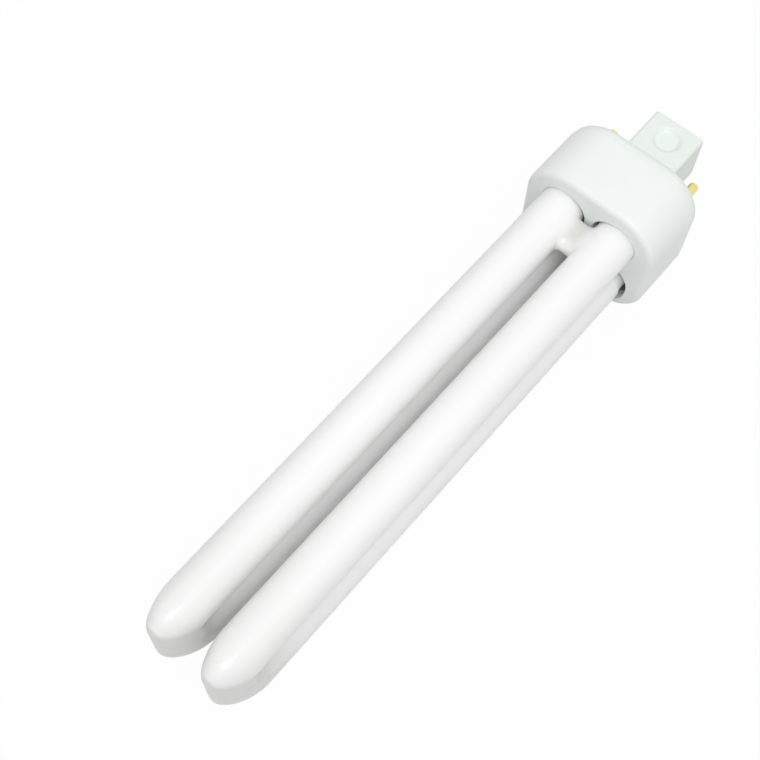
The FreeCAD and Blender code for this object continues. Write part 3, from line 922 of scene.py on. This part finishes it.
def add_floor(scene):
    """A level square under the lamp."""
    half = FLOOR_HALF
    corners = [(-half, -half, 0.0), (half, -half, 0.0), (half, half, 0.0), (-half, half, 0.0)]
    mesh = bpy.data.meshes.new("floor")
    mesh.from_pydata(corners, [], [(0, 1, 2, 3)])
    mesh.materials.append(floor_material(scene))
    floor = bpy.data.objects.new("floor", mesh)
    scene.collection.objects.link(floor)


FLOOR_HALF = 6.0
FLOOR_DIMMING = 0.997


def add_world(scene):
    """Soft light that grows from the horizon to straight above, and plain white where it is seen."""
    world = bpy.data.worlds.new("studio")
    world.use_nodes = True
    nodes, links = world.node_tree.nodes, world.node_tree.links
    light = nodes["Background"]
    light.inputs["Color"].default_value = (1.0, 1.0, 1.0, 1.0)
    direction = nodes.new("ShaderNodeTexCoord")
    parts = nodes.new("ShaderNodeSeparateXYZ")
    links.new(direction.outputs["Generated"], parts.inputs["Vector"])
    strength = nodes.new("ShaderNodeMapRange")
    strength.inputs["To Min"].default_value = scene.lamp_stage.sky_low
    strength.inputs["To Max"].default_value = scene.lamp_stage.sky_high
    links.new(parts.outputs["Z"], strength.inputs["Value"])
    links.new(strength.outputs["Result"], light.inputs["Strength"])
    white = nodes.new("ShaderNodeBackground")
    white.inputs["Color"].default_value = (1.0, 1.0, 1.0, 1.0)
    mix = nodes.new("ShaderNodeMixShader")
    links.new(seen_directly(nodes, links), mix.inputs["Fac"])
    links.new(light.outputs["Background"], mix.inputs[1])
    links.new(white.outputs["Background"], mix.inputs[2])
    links.new(mix.outputs["Shader"], nodes["World Output"].inputs["Surface"])
    scene.world = world


def looking(from_point, to_point, roll=0.0):
    """Pose in the row frame of a camera or a lamp that looks from one point to another."""
    start, end = np.array(from_point), np.array(to_point)
    ahead = (end - start) / np.linalg.norm(end - start)
    right = np.cross(ahead, (0.0, 0.0, 1.0))
    right = right / np.linalg.norm(right)
    up = np.cross(right, ahead)
    turned_right = math.cos(roll) * right + math.sin(roll) * up
    turned_up = math.cos(roll) * up - math.sin(roll) * right
    pose = np.eye(4)
    pose[:3, :3] = AXES @ np.column_stack((turned_right, turned_up, -ahead))
    pose[:3, 3] = AXES @ start + ORIGIN
    return Matrix(pose.tolist())


def add_camera(scene):
    """The camera at the photograph's angle."""
    look = scene.lamp_stage
    data = bpy.data.cameras.new("camera")
    data.sensor_width = SENSOR_WIDTH
    data.lens = look.camera_lens
    data.clip_start = CLIP_START
    camera = bpy.data.objects.new("camera", data)
    scene.collection.objects.link(camera)
    camera.matrix_world = looking(look.camera_place, look.camera_target, look.camera_roll)
    scene.camera = camera


SENSOR_WIDTH = 36.0
CLIP_START = 0.01


def add_key_lamp(scene):
    """One soft square lamp, high up, past the tips and on the right limbs' side."""
    look = scene.lamp_stage
    data = bpy.data.lights.new("key_lamp", "AREA")
    data.shape = "SQUARE"
    data.size = look.key_size
    data.energy = look.key_power
    lamp = bpy.data.objects.new("key_lamp", data)
    scene.collection.objects.link(lamp)
    lamp.matrix_world = looking(look.key_place, look.camera_target)


class LAMP_OT_stage(bpy.types.Operator):
    """Make the floor, the light and the camera"""
    bl_idname = "lamp.stage"
    bl_label = "Stage"

    def execute(self, context):
        scene = context.scene
        add_floor(scene)
        add_world(scene)
        add_key_lamp(scene)
        add_camera(scene)
        scene.view_settings.view_transform = "Standard"
        return {"FINISHED"}


STEPS = ("glass_tubes", "base_housing", "plug_cap", "contact_pins", "inner_pieces", "stage")


class LAMP_PT_panel(bpy.types.Panel):
    """The lamp's pieces, with their sizes and colours"""
    bl_idname = "LAMP_PT_panel"
    bl_label = "Plug-in lamp"
    bl_space_type = "VIEW_3D"
    bl_region_type = "UI"
    bl_category = "Lamp"

    def draw(self, context):
        for step in STEPS:
            self.layout.operator("lamp." + step)
        for group in GROUPS:
            settings = getattr(context.scene, group)
            box = self.layout.box()
            for name in settings.bl_rna.properties.keys():
                if name not in ("name", "rna_type"):
                    box.prop(settings, name)


GROUPS = {"lamp_glass": GlassSizes, "lamp_base": BaseSizes, "lamp_cap": CapSizes,
          "lamp_pins": PinSizes, "lamp_colours": LampColours, "lamp_stage": StageLook}
CLASSES = (*GROUPS.values(), LAMP_OT_glass_tubes, LAMP_OT_base_housing, LAMP_OT_plug_cap,
           LAMP_OT_contact_pins, LAMP_OT_inner_pieces, LAMP_OT_stage, LAMP_PT_panel)


def register():
    """Register the classes and hang the groups on the scene."""
    for cls in CLASSES:
        bpy.utils.register_class(cls)
    for name, group in GROUPS.items():
        setattr(bpy.types.Scene, name, bpy.props.PointerProperty(type=group))


def unregister():
    """Take the groups and the classes away again."""
    for name in GROUPS:
        delattr(bpy.types.Scene, name)
    for cls in reversed(CLASSES):
        bpy.utils.unregister_class(cls)


def main():
    """Make every piece and the stage."""
    register()
    for step in STEPS:
        getattr(bpy.ops.lamp, step)()
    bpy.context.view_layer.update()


if __name__ == "__main__":
    main()
